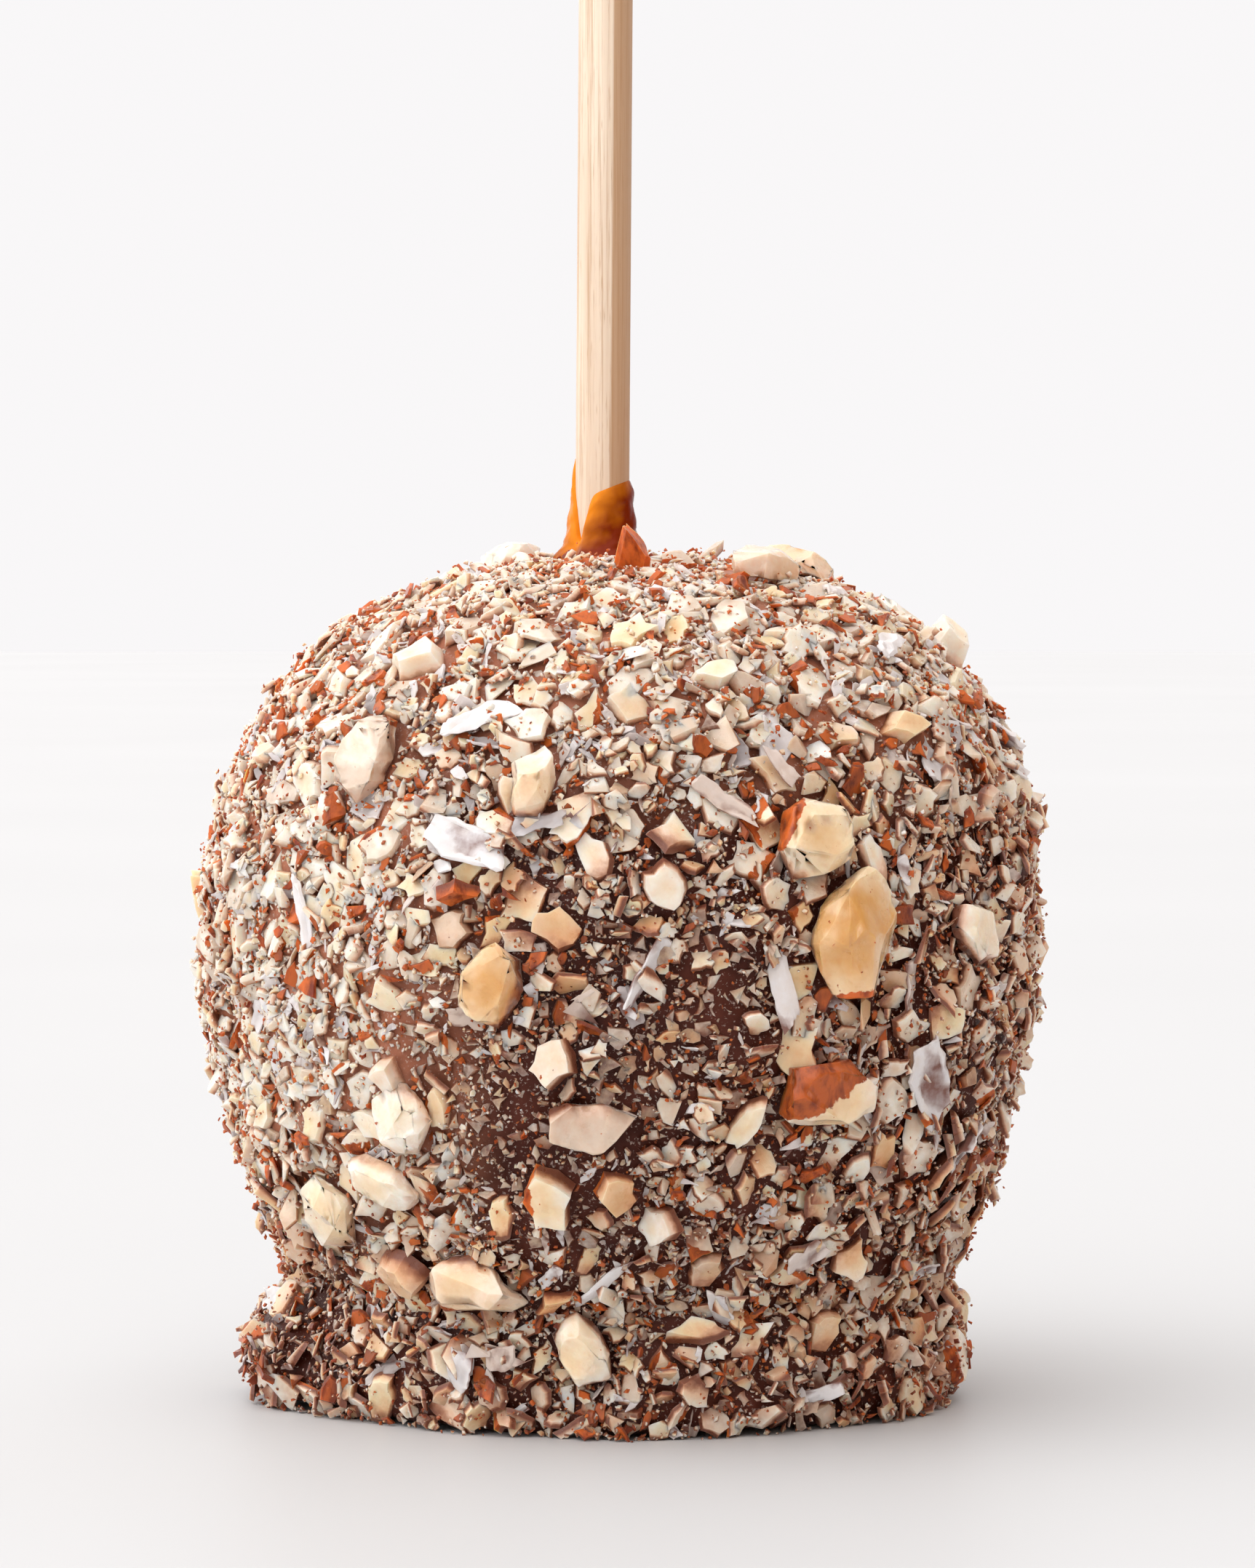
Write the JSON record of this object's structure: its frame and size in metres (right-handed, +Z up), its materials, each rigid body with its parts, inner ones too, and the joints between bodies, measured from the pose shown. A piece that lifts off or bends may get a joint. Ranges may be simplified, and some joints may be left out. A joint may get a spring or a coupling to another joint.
{
  "type": "caramel apple",
  "caption": "Whole apple on a wooden stick, coated in caramel and milk chocolate and rolled in chopped almonds and coconut flakes; stands upright on its flat foot.",
  "frame": {"origin": "middle of the flat underside, below the middle of the apple's widest part", "axes": "+Z up along the stick, -Y towards the side that the picture shows, +X to the right of someone who faces that side"},
  "size_m": [0.0964, 0.0986, 0.182],
  "materials": {
    "chocolate_nut_coat": "food: milk chocolate under fine nut meal, chopped almonds and coconut flakes; satin to matte",
    "almond": "food: chopped almond, pale and waxy inside with patches of thin red-brown skin; satin",
    "caramel": "food: set caramel, amber, slightly clear and glossy",
    "stick_wood": "plain pale birch dowel, bare and unvarnished, fine lengthwise grain"
  },
  "bodies": {
    "root": {"coated_apple": "chocolate_nut_coat", "stick": "stick_wood", "caramel_collar": "caramel", "almond_chunk_01": "almond", "almond_chunk_02": "almond", "almond_chunk_03": "almond", "almond_chunk_04": "almond", "almond_chunk_05": "almond", "almond_chunk_06": "almond", "almond_chunk_07": "almond", "almond_chunk_08": "almond", "almond_chunk_09": "almond", "almond_chunk_10": "almond", "almond_chunk_11": "almond", "almond_chunk_12": "almond", "almond_chunk_13": "almond", "almond_chunk_14": "almond", "almond_chunk_15": "almond", "almond_chunk_16": "almond", "almond_chunk_17": "almond", "almond_chunk_18": "almond", "almond_chunk_19": "almond", "almond_chunk_20": "almond", "almond_chunk_21": "almond", "almond_chunk_22": "almond", "almond_chunk_23": "almond"}
  },
  "joints": []
}
